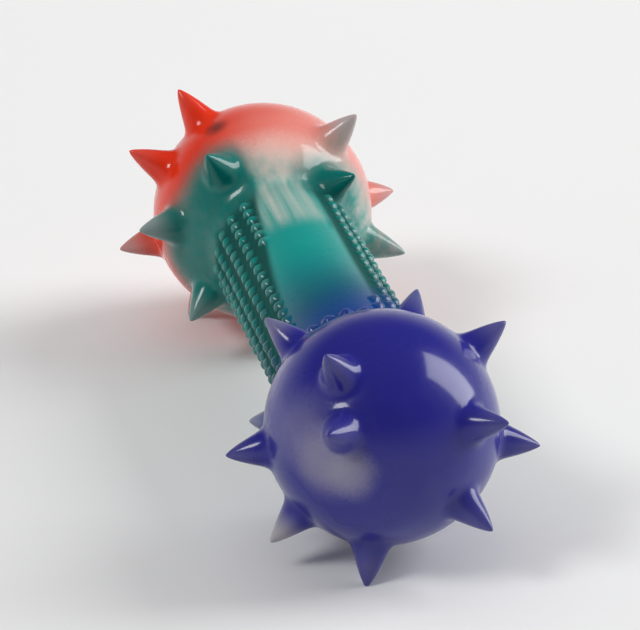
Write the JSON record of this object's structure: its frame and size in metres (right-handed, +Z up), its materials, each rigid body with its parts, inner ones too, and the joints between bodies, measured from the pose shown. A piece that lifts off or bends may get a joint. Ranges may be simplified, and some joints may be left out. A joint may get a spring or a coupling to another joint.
{
  "type": "squeaky dog toy",
  "caption": "Hollow latex dumbbell dog toy with spiked balls, a nubbed grip and a reed squeaker set in one end.",
  "frame": {"origin": "on the floor, under the middle of the grip, with the toy lying on four spike tips", "axes": "+X along the toy towards the blue ball, +Z up, the squeaker at the -X end"},
  "size_m": [0.1788, 0.072, 0.0602],
  "materials": {
    "latex": "glossy latex, sprayed orange-red, pale at the red neck, teal on the grip and blue on the other ball",
    "plug_plastic": "moulded off-white plastic, satin",
    "reed_plastic": "moulded off-white plastic, satin",
    "reed_brass": "rolled brass strip"
  },
  "bodies": {
    "skin": {"latex_skin": "latex"},
    "squeaker": {"squeaker_plug": "plug_plastic", "reed_tube": "reed_plastic", "reed_seat": "reed_plastic", "reed_wedge": "reed_plastic"},
    "reed": {"reed": "reed_brass"}
  },
  "joints": [
    {"name": "squeaker_press", "type": "slide", "parent": "skin", "child": "squeaker", "axis": [1, 0, 0], "range_m": [0, 0.004], "stiffness_N_per_m": 1500, "deforming": ["latex_skin"]},
    {"name": "reed_flex", "type": "hinge", "parent": "squeaker", "child": "reed", "pos_m": [-0.08441, 0, 0.03072], "axis": [0, 1, 0], "range_deg": [-4, 5], "stiffness_Nm_per_rad": 0.02}
  ]
}
